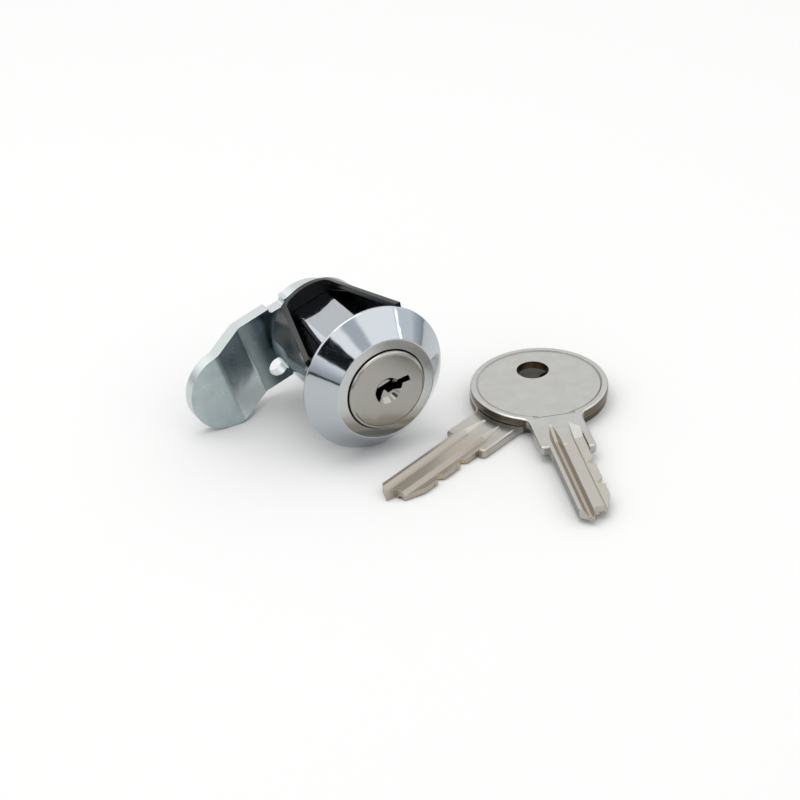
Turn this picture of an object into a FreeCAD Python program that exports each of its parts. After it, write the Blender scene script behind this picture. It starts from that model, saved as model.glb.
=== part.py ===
import FreeCAD, Part
import math
import os
from FreeCAD import Vector

# Mailbox lock with its two keys, lying on a table. Lengths are in millimetres.
# The lock is drawn upright first: X across, Y from the front to the rear, Z square to the barrel's flat.
# The origin is on the lock's axis, in the face of the flange that meets the door.
# At the end the lock is rolled about its axis, so that flange and cam both touch the table.

# Flange and barrel
FLANGE_R = 12.2
RIM_THICK = 0.5
NOSE_HEIGHT = 4.6
RING_R = 8.5
BARREL_R = 7.9
BARREL_LENGTH = 19.2
BARREL_FLAT = 7.3
RIM_ROUND = 0.25
BARREL_CHAMFER = 0.4

# Plug
HEAD_R = 6.65
HEAD_GAP = 0.18
HEAD_SEAT_DEPTH = 0.5
HEAD_PROUD = 0.7
HEAD_ROUND = 0.6
PLUG_R = 5.03
PLUG_CLEAR = 0.07
END_PLAY = 0.1
FACE_RECESS_R = 2.25
FACE_RECESS_FLOOR_R = 1.5
FACE_RECESS_DEPTH = 0.8
TAIL_ACROSS = 6.0
TAIL_R = 3.8
TAIL_SHORT = 0.1
PLUG_TURN = 90.0

# Key
KEY_THICK = 1.6
BOW_R = 11.1
BOW_CENTRE = 20.05
BOW_HOLE_R = 2.6
BOW_HOLE_CENTRE = 24.4
BOW_EDGE_ROUND = 0.4
BOW_NECK_ROUND = 2.1
NECK_HALF = 4.35
NECK_CORNER = 0.6
NECK_STEP = 1.3
PANEL_BORDER = 1.0
PANEL_DEPTH = 0.15
PANEL_FOOT = 9.95
PANEL_FOOT_HALF = 3.4
BLADE_HALF = 2.95
BLADE_LENGTH = 18.25
TIP_ACROSS = -0.8
TIP_BACK = 1.8
TIP_NOTCH = 1.7
TIP_NOTCH_ACROSS = -0.3
TIP_CORNER = 1.6
TIP_BEVEL = 5.2
GROOVE_START = 7.6
GROOVE_DEPTH = 0.9
GROOVE_FROM = -2.35
GROOVE_TO = -0.7
GROOVE_SLANT = 0.8
GROOVE_STEEP = 0.35
STEP_FROM = 1.1
STEP_SLANT = 0.5
STEP_DEPTH = 0.7
STEP_EDGE_DEPTH = 0.4
STEP_WALL = 3.1
UNDER_FROM = 0.25
UNDER_TO = 1.25
UNDER_STEEP = 0.1
UNDER_DEPTH = 0.5
UNDER_EDGE_DEPTH = 0.35
CUTTER_RUN_OUT = 4.0
CUT_FLAT = 0.5
CUT_SLANT = 0.7
CUT_DEPTHS = [0.95, 0.15, 0.05, 0.95, 0.1, 0.05]
KEYWAY_CLEAR = 0.12
KEYWAY_OVERRUN = 0.6
KEYWAY_ACROSS = 0.95
KEYWAY_UP = -0.03

# Wafers and their springs
WAFER_THICK = 1.0
WAFER_PITCH = 1.9
WAFER_FIRST = 3.5
WAFER_WIDTH = 6.0
WAFER_CLEAR = 0.04
WAFER_TRAVEL = 0.5
WAFER_WINDOW_CLEAR = 0.15
WAFER_TAB = 1.2
WAFER_TAB_FROM = -0.2
WAFER_TAB_TO = 0.4
LOCKING_SLOT_DEPTH = 0.75
LOCKING_SLOT_SIDE = 0.3
SPRING_R = 0.42
SPRING_WIRE_R = 0.12
SPRING_LENGTH = 1.8
SPRING_TURNS = 4
SPRING_CLEAR = 0.06
SPRING_WALL = 0.1
SPRING_END_GAP = 0.02

# Stop washer, between the barrel's end and the cam
STOP_R = 6.9
STOP_THICK = 1.2
STOP_LUG_INNER = 5.75
STOP_LUG_OUTER = 6.7
STOP_LUG_LENGTH = 1.2
STOP_LUG_ANGLE = 30.0
STOP_LUG_CENTRE = -5.0
STOP_CLEAR = 0.15
STOP_CLEAR_ANGLE = 1.0

# Cam
CAM_THICK = 2.0
CAM_HEAD_R = 7.1
CAM_ARM_HALF = 6.85
CAM_TIP_CENTRE = 17.6
CAM_FIRST_BEND = 11.3
CAM_SECOND_BEND = 17.2
CAM_CRANK = 3.5
CAM_BEND_INNER_R = 0.6
CAM_NOTCH_FROM = 2.6
CAM_NOTCH_TO = 5.6
CAM_NOTCH_HALF = 5.9
CAM_NOTCH_ROUND = 0.6
CAM_HOLE_R = 1.6
CAM_HOLE_ACROSS = -7.85
CAM_HOLE_UP = -3.95
SQUARE_CLEAR = 0.05

# Lock washer and screw that hold the cam
LOCK_WASHER_THICK = 0.6
LOCK_WASHER_R = 3.6
LOCK_WASHER_TOOTH_R = 4.4
LOCK_WASHER_TEETH = 12
LOCK_WASHER_TOOTH = 0.9
SCREW_R = 2.0
SCREW_CLEAR = 0.02
SCREW_SHANK = 9.0
SCREW_HEAD_R = 3.5
SCREW_HEAD_HEIGHT = 1.8
SCREW_HEAD_ROUND = 0.8
SCREW_SLOT_WIDTH = 0.9
SCREW_SLOT_LENGTH = 3.8
SCREW_SLOT_DEPTH = 1.0

# Fixing clip, a spring steel saddle
CLIP_THICK = 0.9
CLIP_BACK = 16.6
CLIP_FRONT = 0.3
CLIP_ARCH_UP = 2.15
CLIP_CLEAR = 0.02
CLIP_CORNER_ACROSS = 4.5
CLIP_CORNER_SPLAY = 1.1
CLIP_FOOT_SPLAY = 0.35
CLIP_FRONT_HEIGHT = 9.1
CLIP_FOOT_UP = 4.0
CLIP_WINDOW_ROUND = 1.0
CLIP_LIP_HEIGHT = 0.8
CLIP_LIP_REACH = 1.8
CLIP_GROOVE_CLEAR = 0.1
CLIP_TRAVEL = 2.0

# How the keys lie on the table: the shoulder's middle, where the blade points, and how far it leans down
UPPER_KEY_X = 22.39
UPPER_KEY_Y = -22.46
UPPER_KEY_TURN = -107.6
UPPER_KEY_LEAN = 1.5
LOWER_KEY_X = 10.24
LOWER_KEY_Y = -9.95
LOWER_KEY_TURN = -157.9

# Values that follow from the ones above
FACE_Y = -NOSE_HEIGHT - HEAD_PROUD
SEAT_Y = -NOSE_HEIGHT + HEAD_SEAT_DEPTH
PLUG_END_Y = BARREL_LENGTH + END_PLAY
CAM_Y = PLUG_END_Y + STOP_THICK
CAM_BACK_Y = CAM_Y + CAM_THICK
TABLE_Z = -FLANGE_R
BORE_R = PLUG_R + PLUG_CLEAR
LIE_ANGLE = math.degrees(math.asin((FLANGE_R - CAM_ARM_HALF) / CAM_TIP_CENTRE))
AXIS = Vector(0, 1, 0)
KEY_REST = Vector(BOW_R - BOW_CENTRE, 0, 0)
CLIP_SEAT = math.sqrt(BARREL_R ** 2 - CLIP_FOOT_UP ** 2)
CLIP_ARCH_R = math.hypot(CLIP_SEAT, CLIP_FOOT_UP - CLIP_ARCH_UP) + CLIP_THICK + CLIP_CLEAR
CLIP_FRONT_CORNER = BARREL_R + CLIP_CORNER_SPLAY
CLIP_FRONT_FOOT = BARREL_R + CLIP_FOOT_SPLAY
CLIP_LIP_INNER = BARREL_R - CLIP_LIP_REACH
CLIP_PLATE_FRONT = CLIP_BACK - CLIP_THICK

# How close two places count as one, how far a cut reaches past a face, and the widest step of a fan
SAME = 0.01
PAST = 1.0
FAN_STEP = 40.0


def box(x0, x1, y0, y1, z0, z1):
    """A block between two corners."""
    return Part.makeBox(x1 - x0, y1 - y0, z1 - z0, Vector(x0, y0, z0))


def rod(radius, y0, y1, x=0.0, z=0.0):
    """A cylinder along the lock's axis."""
    return Part.makeCylinder(radius, y1 - y0, Vector(x, y0, z), AXIS)


def prism(points, run):
    """A closed outline carried along a vector."""
    wire = Part.makePolygon(points + points[:1])
    return Part.Face(wire).extrude(run)


def turned(profile):
    """A profile of radius and Y pairs turned about the lock's axis."""
    wire = Part.makePolygon([Vector(r, y, 0) for r, y in profile + profile[:1]])
    return Part.Face(wire).revolve(Vector(0, 0, 0), AXIS, 360)


def sector(inner, outer, y0, y1, start, sweep):
    """A piece of a ring about the axis. Angles run from +X towards +Z."""
    ring = rod(outer, y0, y1).cut(rod(inner, y0, y1))
    steps = max(2, int(sweep // FAN_STEP) + 1)
    fan = [Vector(0, y0, 0)]
    for step in range(steps + 1):
        angle = math.radians(start + sweep * step / steps)
        fan.append(Vector(2 * outer * math.cos(angle), y0, 2 * outer * math.sin(angle)))
    return ring.common(prism(fan, AXIS * (y1 - y0)))


def round_edges(shape, radius, wanted):
    """Fillets the edges that the test picks."""
    edges = [edge for edge in shape.Edges if wanted(edge)]
    return shape.makeFillet(radius, edges) if edges else shape


def circle_edge(edge, radius, y):
    """Tells whether an edge is the circle of this radius about the axis at this Y."""
    curve = edge.Curve
    if not isinstance(curve, Part.Circle):
        return False
    centre = curve.Center
    on_axis = math.hypot(centre.x, centre.z) < SAME
    return on_axis and abs(curve.Radius - radius) < SAME and abs(centre.y - y) < SAME


def wafer_places():
    """The middle of each wafer along the axis."""
    return [FACE_Y + WAFER_FIRST + WAFER_PITCH * n for n in range(len(CUT_DEPTHS))]


def lock_slots():
    """The slots, broached from the front, that the wafers spring into when locked and when open."""
    places = wafer_places()
    y0 = SEAT_Y
    y1 = places[-1] + WAFER_THICK / 2 + LOCKING_SLOT_SIDE
    half = WAFER_WIDTH / 2 + LOCKING_SLOT_SIDE
    reach = BORE_R + LOCKING_SLOT_DEPTH
    locked = box(-reach, 0, y0, y1, -half, half)
    opened = locked.copy()
    opened.rotate(Vector(0, 0, 0), AXIS, PLUG_TURN)
    return locked.fuse(opened)


def make_housing():
    """Flange, cone and barrel in one die casting."""
    solid = turned([(0, -NOSE_HEIGHT), (RING_R, -NOSE_HEIGHT), (FLANGE_R, -RIM_THICK), (FLANGE_R, 0),
                    (BARREL_R, 0), (BARREL_R, BARREL_LENGTH), (0, BARREL_LENGTH)])
    solid = round_edges(solid, RIM_ROUND, lambda edge: circle_edge(edge, FLANGE_R, -RIM_THICK)
                        or circle_edge(edge, RING_R, -NOSE_HEIGHT) or circle_edge(edge, FLANGE_R, 0))
    back = [edge for edge in solid.Edges if circle_edge(edge, BARREL_R, BARREL_LENGTH)]
    solid = solid.makeChamfer(BARREL_CHAMFER, back)
    for side in (1, -1):
        flat = box(-BARREL_R, BARREL_R, 0, BARREL_LENGTH, BARREL_FLAT, BARREL_R + PAST)
        if side < 0:
            flat.rotate(Vector(0, 0, 0), AXIS, 180)
        solid = solid.cut(flat)
    solid = solid.cut(rod(HEAD_R + HEAD_GAP, -NOSE_HEIGHT, SEAT_Y))
    solid = solid.cut(rod(BORE_R, SEAT_Y, BARREL_LENGTH))
    solid = solid.cut(lock_slots())
    low = CLIP_FOOT_UP - CLIP_GROOVE_CLEAR
    high = CLIP_FOOT_UP + CLIP_LIP_HEIGHT + CLIP_GROOVE_CLEAR
    floor = CLIP_LIP_INNER - CLIP_GROOVE_CLEAR
    solid = solid.cut(box(floor, BARREL_R, 0, BARREL_LENGTH, low, high))
    solid = solid.cut(box(-BARREL_R, -floor, 0, BARREL_LENGTH, low, high))
    sweep = PLUG_TURN + STOP_LUG_ANGLE + 2 * STOP_CLEAR_ANGLE
    start = STOP_LUG_CENTRE - PLUG_TURN - STOP_LUG_ANGLE / 2 - STOP_CLEAR_ANGLE
    recess = sector(STOP_LUG_INNER - STOP_CLEAR, STOP_LUG_OUTER + STOP_CLEAR,
                    BARREL_LENGTH - STOP_LUG_LENGTH, BARREL_LENGTH, start, sweep)
    return solid.cut(recess)


def blade_section(clear=0.0):
    """The blade's section as pairs of across and height, grown on every side by a clearance."""
    low, high = -clear, KEY_THICK + clear
    under, floor = low + UNDER_DEPTH, high - GROOVE_DEPTH
    back, front = -BLADE_HALF - clear, BLADE_HALF + clear
    return [(back, low), (UNDER_FROM + clear, low), (UNDER_FROM + UNDER_STEEP + clear, under),
            (UNDER_TO - UNDER_STEEP - clear, under), (UNDER_TO - clear, low), (front, low + UNDER_EDGE_DEPTH),
            (front, high - STEP_EDGE_DEPTH), (STEP_FROM + STEP_SLANT + clear, high - STEP_DEPTH),
            (STEP_FROM + clear, high), (GROOVE_TO - clear, high), (GROOVE_TO - GROOVE_STEEP - clear, floor),
            (GROOVE_FROM + GROOVE_SLANT + clear, floor), (GROOVE_FROM + clear, high), (back, high)]


def make_keyway():
    """The keyway: the blade's section with clearance. The key goes in with its grooved face down."""
    middle = KEYWAY_UP + KEY_THICK / 2
    outline = [Vector(KEYWAY_ACROSS + across, FACE_Y, middle - height)
               for across, height in blade_section(KEYWAY_CLEAR)]
    return prism(outline, AXIS * (BLADE_LENGTH + KEYWAY_OVERRUN))


def wafer_blank(radius, thick, y):
    """A wafer's outer form: the plug's circle between two straight sides."""
    half = WAFER_WIDTH / 2
    disc = rod(radius, y - thick / 2, y + thick / 2)
    return disc.common(box(-radius, radius, y - thick, y + thick, -half, half))


def make_plug():
    """The turning core, with its keyway, wafer slots, spring pockets and square tail."""
    solid = rod(HEAD_R, FACE_Y, SEAT_Y - END_PLAY / 2)
    solid = round_edges(solid, HEAD_ROUND, lambda edge: circle_edge(edge, HEAD_R, FACE_Y))
    solid = solid.fuse(rod(PLUG_R, SEAT_Y - END_PLAY, PLUG_END_Y))
    half = TAIL_ACROSS / 2
    tail_end = CAM_BACK_Y - TAIL_SHORT
    tail = rod(TAIL_R, PLUG_END_Y - END_PLAY, tail_end).common(
        box(-half, half, PLUG_END_Y - END_PLAY, tail_end, -half, half))
    solid = solid.fuse(tail)
    mouth = Vector(0, FACE_Y, 0)
    solid = solid.cut(Part.makeCone(FACE_RECESS_R, FACE_RECESS_FLOOR_R, FACE_RECESS_DEPTH, mouth, AXIS))
    solid = solid.cut(make_keyway())
    screw_end = tail_end - SCREW_SHANK - KEYWAY_OVERRUN
    solid = solid.cut(rod(SCREW_R + SCREW_CLEAR, screw_end, tail_end))
    side = WAFER_WIDTH / 2 + WAFER_CLEAR
    for y in wafer_places():
        y0 = y - WAFER_THICK / 2 - WAFER_CLEAR
        y1 = y + WAFER_THICK / 2 + WAFER_CLEAR
        slot = box(-HEAD_R, HEAD_R, y0, y1, -side, side).common(rod(PLUG_R + PLUG_CLEAR / 2, y0, y1))
        tab = box(WAFER_TAB_FROM - WAFER_TRAVEL - WAFER_CLEAR, WAFER_TAB_TO + SPRING_END_GAP, y0, y1,
                  0, WAFER_WIDTH / 2 + WAFER_TAB + WAFER_CLEAR)
        pocket = Part.makeCylinder(SPRING_R + SPRING_WIRE_R + SPRING_CLEAR, SPRING_LENGTH,
                                   Vector(WAFER_TAB_TO, y, spring_height()), Vector(1, 0, 0))
        solid = solid.cut(slot.fuse(tab).fuse(pocket))
    return solid


def spring_height():
    """How far above the axis a wafer's spring lies."""
    return WAFER_WIDTH / 2 + WAFER_CLEAR + SPRING_WALL + SPRING_R + SPRING_WIRE_R + SPRING_CLEAR


def make_wafer(y, cut_depth):
    """One wafer. Its window bears on the key's cut edge, so that the right key draws it flush."""
    solid = wafer_blank(PLUG_R - WAFER_CLEAR, WAFER_THICK, y)
    y0, y1 = y - WAFER_THICK / 2, y + WAFER_THICK / 2
    half = WAFER_WIDTH / 2
    solid = solid.fuse(box(WAFER_TAB_FROM, WAFER_TAB_TO, y0, y1, half - WAFER_TAB, half + WAFER_TAB))
    tall = KEY_THICK / 2 + WAFER_WINDOW_CLEAR
    window = box(KEYWAY_ACROSS - BLADE_HALF - WAFER_WINDOW_CLEAR,
                 KEYWAY_ACROSS + BLADE_HALF - cut_depth + KEYWAY_CLEAR, y0, y1,
                 KEYWAY_UP - tall, KEYWAY_UP + tall)
    return solid.cut(window)


def make_wafer_spring(y):
    """The small coil that pushes one wafer out towards its locking slot. Its path is quarter-turn arcs."""
    length = SPRING_LENGTH - 2 * SPRING_END_GAP - 2 * SPRING_WIRE_R
    steps = 8 * SPRING_TURNS
    places = []
    for step in range(steps + 1):
        angle = 2 * math.pi * SPRING_TURNS * step / steps
        places.append(Vector(SPRING_R * math.cos(angle), SPRING_R * math.sin(angle), length * step / steps))
    arcs = [Part.Arc(*places[k:k + 3]).toShape() for k in range(0, steps, 2)]
    lead = arcs[0].tangentAt(arcs[0].FirstParameter)
    across = Part.Wire(Part.Edge(Part.Circle(places[0], lead, SPRING_WIRE_R)))
    coil = Part.Wire(arcs).makePipeShell([across], True, False)
    coil.rotate(Vector(0, 0, 0), Vector(0, 1, 0), 90)
    coil.translate(Vector(WAFER_TAB_TO + SPRING_END_GAP + SPRING_WIRE_R, y, spring_height()))
    return coil


def square_hole(y0, y1):
    """The square hole that fits over the plug's tail."""
    half = TAIL_ACROSS / 2 + SQUARE_CLEAR
    return rod(TAIL_R + SQUARE_CLEAR, y0, y1).common(box(-half, half, y0, y1, -half, half))


def make_stop_washer():
    """The washer whose lug limits the turn."""
    y0, y1 = PLUG_END_Y, PLUG_END_Y + STOP_THICK
    solid = rod(STOP_R, y0, y1)
    lug = sector(STOP_LUG_INNER, STOP_LUG_OUTER, y0 - STOP_LUG_LENGTH, y0 + STOP_THICK / 2,
                 STOP_LUG_CENTRE - STOP_LUG_ANGLE / 2, STOP_LUG_ANGLE)
    return solid.fuse(lug).cut(square_hole(y0, y1))


def make_cam():
    """The cranked locking cam, cut from strip and bent towards the door."""
    slope = math.atan2(CAM_CRANK, CAM_SECOND_BEND - CAM_FIRST_BEND)
    shift = CAM_THICK * math.tan(slope / 2)
    reach = CAM_TIP_CENTRE + CAM_ARM_HALF + PAST
    side = CAM_HEAD_R + PAST
    front = [(side, 0), (-CAM_FIRST_BEND, 0), (-CAM_SECOND_BEND, -CAM_CRANK), (-reach, -CAM_CRANK)]
    rear = [(x - shift, y + CAM_THICK) for x, y in front]
    outline = [Vector(x, CAM_Y + y, -side) for x, y in front + rear[::-1]]
    strip = prism(outline, Vector(0, 0, 2 * side))
    inner, outer = CAM_BEND_INNER_R, CAM_BEND_INNER_R + CAM_THICK
    for (x, y), radius in ((front[1], inner), (rear[1], outer), (front[2], outer), (rear[2], inner)):
        strip = round_edges(strip, radius, lambda edge: upright_at(edge, x, CAM_Y + y))
    y0 = CAM_Y - CAM_CRANK - CAM_THICK
    y1 = CAM_Y + 2 * CAM_THICK
    plan = rod(CAM_HEAD_R, y0, y1).fuse(rod(CAM_ARM_HALF, y0, y1, -CAM_TIP_CENTRE))
    plan = plan.fuse(box(-CAM_TIP_CENTRE, 0, y0, y1, -CAM_ARM_HALF, CAM_ARM_HALF))
    for sign in (1, -1):
        low, high = sorted((sign * CAM_NOTCH_HALF, sign * side))
        notch = box(-CAM_NOTCH_TO, -CAM_NOTCH_FROM, y0, y1, low, high)
        notch = round_edges(notch, CAM_NOTCH_ROUND, lambda edge: along_axis(edge)
                            and abs(edge.CenterOfMass.z - sign * CAM_NOTCH_HALF) < SAME)
        plan = plan.cut(notch)
    plan = plan.removeSplitter()
    solid = strip.common(plan)
    solid = solid.cut(square_hole(CAM_Y, CAM_BACK_Y))
    return solid.cut(rod(CAM_HOLE_R, CAM_Y, CAM_BACK_Y, CAM_HOLE_ACROSS, CAM_HOLE_UP))


def upright_at(edge, x, y):
    """Tells whether an edge runs along Z at this X and Y."""
    centre = edge.CenterOfMass
    straight = isinstance(edge.Curve, Part.Line) and abs(edge.tangentAt(edge.FirstParameter).z) > 0.99
    return straight and abs(centre.x - x) < SAME and abs(centre.y - y) < SAME


def along_axis(edge):
    """Tells whether an edge runs along the lock's axis."""
    return isinstance(edge.Curve, Part.Line) and abs(edge.tangentAt(edge.FirstParameter).y) > 0.99


def make_lock_washer():
    """A washer with outer teeth that bite into cam and screw head."""
    y0, y1 = CAM_BACK_Y, CAM_BACK_Y + LOCK_WASHER_THICK
    solid = rod(LOCK_WASHER_R, y0, y1)
    for tooth in range(LOCK_WASHER_TEETH):
        piece = box(LOCK_WASHER_R - LOCK_WASHER_TOOTH, LOCK_WASHER_TOOTH_R, y0, y1,
                    -LOCK_WASHER_TOOTH / 2, LOCK_WASHER_TOOTH / 2)
        piece.rotate(Vector(0, 0, 0), AXIS, 360.0 * tooth / LOCK_WASHER_TEETH)
        solid = solid.fuse(piece)
    return solid.removeSplitter().cut(rod(SCREW_R + SCREW_CLEAR, y0, y1))


def make_cam_screw():
    """The pan head screw that goes into the plug's tail."""
    seat = CAM_BACK_Y + LOCK_WASHER_THICK
    top = seat + SCREW_HEAD_HEIGHT
    head = rod(SCREW_HEAD_R, seat, top)
    head = round_edges(head, SCREW_HEAD_ROUND, lambda edge: circle_edge(edge, SCREW_HEAD_R, top))
    solid = head.fuse(rod(SCREW_R, CAM_BACK_Y - TAIL_SHORT - SCREW_SHANK, seat))
    long, wide = SCREW_SLOT_LENGTH / 2, SCREW_SLOT_WIDTH / 2
    cross = box(-long, long, top - SCREW_SLOT_DEPTH, top, -wide, wide)
    cross = cross.fuse(box(-wide, wide, top - SCREW_SLOT_DEPTH, top, -long, long))
    return solid.cut(cross)


def clip_section(y, outer, inner, curved):
    """A closed section of the clip's arch from its outer and inner points, left foot first."""
    out = [Vector(x, y, z) for x, z in outer]
    back = [Vector(x, y, z) for x, z in inner]
    edges = []
    for row in (out, back[::-1]):
        for first, middle, last, bent in ((0, 1, 2, curved), (2, 3, 4, True), (4, 5, 6, curved)):
            ends = (row[first], row[middle], row[last])
            edges.append(Part.Arc(*ends).toShape() if bent else Part.makeLine(ends[0], ends[2]))
        edges.append(None)
    edges[3] = Part.makeLine(out[-1], back[-1])
    edges[7] = Part.makeLine(back[0], out[0])
    return Part.Wire(edges)


def arch_points(radius, corner_angle):
    """Points on the rear arch: left foot, side, left corner, top, right corner, side and right foot."""
    foot = math.asin((CLIP_FOOT_UP - CLIP_ARCH_UP) / radius)
    right = [foot, (foot + corner_angle) / 2, corner_angle]
    angles = [math.pi - a for a in right] + [math.pi / 2] + right[::-1]
    return [(radius * math.cos(a), CLIP_ARCH_UP + radius * math.sin(a)) for a in angles]


def front_points(corner, foot, height):
    """The same seven points at the front, where the sides are straight and splayed."""
    top = CLIP_ARCH_UP + CLIP_ARCH_R - (CLIP_FRONT_HEIGHT - height)
    right = [(foot, CLIP_FOOT_UP), ((foot + corner) / 2, (CLIP_FOOT_UP + height) / 2), (corner, height)]
    return [(-x, z) for x, z in right] + [(0, top)] + right[::-1]


def clip_plate():
    """The clip's rear plate, which stands square to the barrel and fits over its flat and sides."""
    y0, y1 = CLIP_PLATE_FRONT, CLIP_BACK
    clear = CLIP_GROOVE_CLEAR
    disc = rod(CLIP_ARCH_R, y0, y1, 0, CLIP_ARCH_UP)
    plate = disc.common(box(-CLIP_ARCH_R, CLIP_ARCH_R, y0, y1, CLIP_FOOT_UP, CLIP_ARCH_UP + CLIP_ARCH_R))
    side = BARREL_R + clear
    return plate.cut(rod(side, y0, y1).common(box(-side, side, y0, y1, 0, BARREL_FLAT + clear)))


def make_clip():
    """The saddle that slides along the barrel from the rear and grips the door."""
    corner_angle = math.acos(CLIP_CORNER_ACROSS / CLIP_ARCH_R)
    rear = clip_section(CLIP_BACK, arch_points(CLIP_ARCH_R, corner_angle),
                        arch_points(CLIP_ARCH_R - CLIP_THICK, corner_angle), True)
    outer = front_points(CLIP_FRONT_CORNER, CLIP_FRONT_FOOT, CLIP_FRONT_HEIGHT)
    inner = front_points(CLIP_FRONT_CORNER - CLIP_THICK, CLIP_FRONT_FOOT - CLIP_THICK,
                         CLIP_FRONT_HEIGHT - CLIP_THICK)
    front = clip_section(CLIP_FRONT, outer, inner, False)
    solid = Part.makeLoft([rear, front], True, True)
    share = (CLIP_BACK - CLIP_PLATE_FRONT) / (CLIP_BACK - CLIP_FRONT)
    narrow = CLIP_CORNER_ACROSS + share * (CLIP_FRONT_CORNER - CLIP_CORNER_ACROSS) - CLIP_THICK
    wide = CLIP_FRONT_CORNER - CLIP_THICK
    low = CLIP_FOOT_UP + CLIP_LIP_HEIGHT
    top = CLIP_ARCH_UP + CLIP_ARCH_R + PAST
    before = CLIP_FRONT - PAST
    window = prism([Vector(-narrow, CLIP_PLATE_FRONT, low), Vector(narrow, CLIP_PLATE_FRONT, low),
                    Vector(wide, CLIP_FRONT, low), Vector(wide, before, low),
                    Vector(-wide, before, low), Vector(-wide, CLIP_FRONT, low)],
                   Vector(0, 0, top - low))
    for side in (1, -1):
        window = round_edges(window, CLIP_WINDOW_ROUND,
                             lambda edge: upright_at(edge, side * narrow, CLIP_PLATE_FRONT))
    solid = solid.cut(window).fuse(clip_plate())
    foot = math.asin((CLIP_FOOT_UP + CLIP_LIP_HEIGHT - CLIP_ARCH_UP) / CLIP_ARCH_R)
    rear_wall = CLIP_ARCH_R * math.cos(foot) - CLIP_THICK / 2
    front_wall = CLIP_FRONT_FOOT - CLIP_THICK / 2
    for side in (1, -1):
        lip = prism([Vector(side * CLIP_LIP_INNER, CLIP_FRONT, CLIP_FOOT_UP),
                     Vector(side * front_wall, CLIP_FRONT, CLIP_FOOT_UP),
                     Vector(side * rear_wall, CLIP_BACK, CLIP_FOOT_UP),
                     Vector(side * CLIP_LIP_INNER, CLIP_BACK, CLIP_FOOT_UP)],
                    Vector(0, 0, CLIP_LIP_HEIGHT))
        solid = solid.fuse(lip)
    return solid


def blade_outline():
    """The blade's outline from its back edge round the tip, before its edge is cut."""
    notch = BLADE_LENGTH - TIP_NOTCH
    return [(-NECK_STEP - NECK_CORNER, -BLADE_HALF), (BLADE_LENGTH - TIP_BACK, -BLADE_HALF),
            (BLADE_LENGTH, TIP_ACROSS), (notch, TIP_NOTCH_ACROSS), (notch, TIP_CORNER),
            (BLADE_LENGTH - TIP_BEVEL, BLADE_HALF), (-NECK_CORNER, BLADE_HALF)]


def blade_cuts():
    """The outline of each cut in the blade's edge, one for each wafer, reaching past the edge."""
    cuts = []
    for number, depth in enumerate(CUT_DEPTHS):
        middle = WAFER_FIRST + WAFER_PITCH * number
        narrow = CUT_FLAT / 2
        wide = narrow + (depth + PAST) * CUT_SLANT
        low, high = BLADE_HALF - depth, BLADE_HALF + PAST
        cuts.append([(middle - narrow, low), (middle + narrow, low),
                     (middle + wide, high), (middle - wide, high)])
    return cuts


def make_key():
    """A key along +X with its shoulder at the origin, lying on the plane of zero height."""
    up = Vector(0, 0, KEY_THICK)
    bow = Part.makeCylinder(BOW_R, KEY_THICK, Vector(-BOW_CENTRE, 0, 0))
    neck = box(-BOW_CENTRE + BOW_R / 2, -NECK_STEP, -NECK_HALF, 0, 0, KEY_THICK)
    neck = neck.fuse(box(-BOW_CENTRE + BOW_R / 2, 0, 0, NECK_HALF, 0, KEY_THICK))
    blank = bow.fuse(neck).removeSplitter()
    joint = -BOW_CENTRE + math.sqrt(BOW_R ** 2 - NECK_HALF ** 2)
    blank = round_edges(blank, BOW_NECK_ROUND, lambda edge: upright_at(edge, joint, NECK_HALF)
                        or upright_at(edge, joint, -NECK_HALF))
    blank = round_edges(blank, NECK_CORNER, lambda edge: upright_at(edge, 0, NECK_HALF)
                        or upright_at(edge, -NECK_STEP, -NECK_HALF))
    blank = round_edges(blank, BOW_EDGE_ROUND, lambda edge: isinstance(edge.Curve, Part.Circle)
                        and abs(edge.Curve.Radius - BOW_R) < SAME)
    solid = blank.fuse(prism([Vector(x, y, 0) for x, y in blade_outline()], up))
    for cut in blade_cuts():
        solid = solid.cut(prism([Vector(x, y, 0) for x, y in cut], up))
    solid = solid.cut(Part.makeCylinder(BOW_HOLE_R, KEY_THICK, Vector(-BOW_HOLE_CENTRE, 0, 0)))
    for level in (0, KEY_THICK - PANEL_DEPTH):
        panel = Part.makeCylinder(BOW_R - PANEL_BORDER, PANEL_DEPTH, Vector(-BOW_CENTRE, 0, level))
        foot = box(-BOW_CENTRE, -PANEL_FOOT, -PANEL_FOOT_HALF, PANEL_FOOT_HALF, level, level + PANEL_DEPTH)
        solid = solid.cut(panel.fuse(foot).removeSplitter())
    top = KEY_THICK
    solid = solid.cut(milled([(GROOVE_FROM, top), (GROOVE_FROM + GROOVE_SLANT, top - GROOVE_DEPTH),
                              (GROOVE_TO - GROOVE_STEEP, top - GROOVE_DEPTH), (GROOVE_TO, top)]))
    solid = solid.cut(milled([(STEP_FROM, top), (STEP_FROM + STEP_SLANT, top - STEP_DEPTH),
                              (STEP_WALL, top - STEP_EDGE_DEPTH), (STEP_WALL, top)]))
    solid = solid.cut(milled([(UNDER_FROM, 0), (UNDER_FROM + UNDER_STEEP, UNDER_DEPTH),
                              (UNDER_TO - UNDER_STEEP, UNDER_DEPTH), (UNDER_TO, 0)]))
    return solid.cut(milled([(UNDER_TO, 0), (STEP_WALL, UNDER_EDGE_DEPTH), (STEP_WALL, 0)]))


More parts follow.
